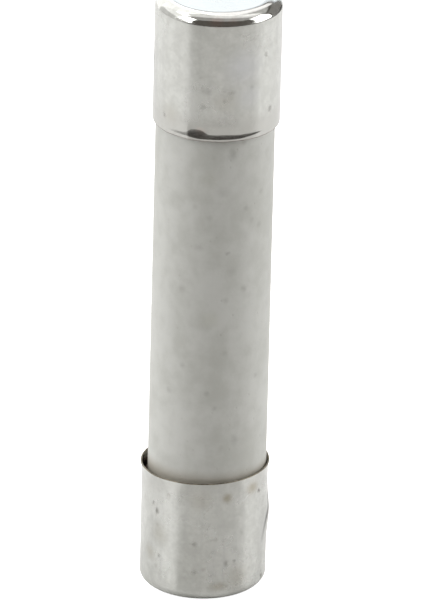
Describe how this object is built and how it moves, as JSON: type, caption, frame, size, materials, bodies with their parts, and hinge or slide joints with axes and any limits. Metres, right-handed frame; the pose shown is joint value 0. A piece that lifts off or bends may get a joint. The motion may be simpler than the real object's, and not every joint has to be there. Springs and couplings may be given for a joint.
{
  "type": "cartridge fuse",
  "caption": "Slim ceramic tube fuse with a plated metal cap on each end, filled with quartz sand around a diagonal fuse wire.",
  "frame": {"origin": "centre of the lower end face, which the fuse stands on", "axes": "+Z along the fuse from the lower cap to the upper cap; the fuse wire lies in the XZ plane"},
  "size_m": [0.0066, 0.0064, 0.0318],
  "materials": {
    "ceramic_body": "satin",
    "plated_cap": "satin",
    "element_wire": "satin",
    "tin": "satin",
    "quartz_sand": "matte",
    "fibre": "matte",
    "solder": "satin",
    "cement": "matte"
  },
  "bodies": {
    "root": {"ceramic_tube": "ceramic_body", "lower_end_cap": "plated_cap", "upper_end_cap": "plated_cap", "fuse_element": "element_wire", "tin_bead": "tin", "quartz_sand_fill": "quartz_sand", "lower_sealing_disc": "fibre", "upper_sealing_disc": "fibre", "lower_solder": "solder", "upper_solder": "solder", "lower_cement_ring": "cement", "upper_cement_ring": "cement"}
  },
  "joints": []
}
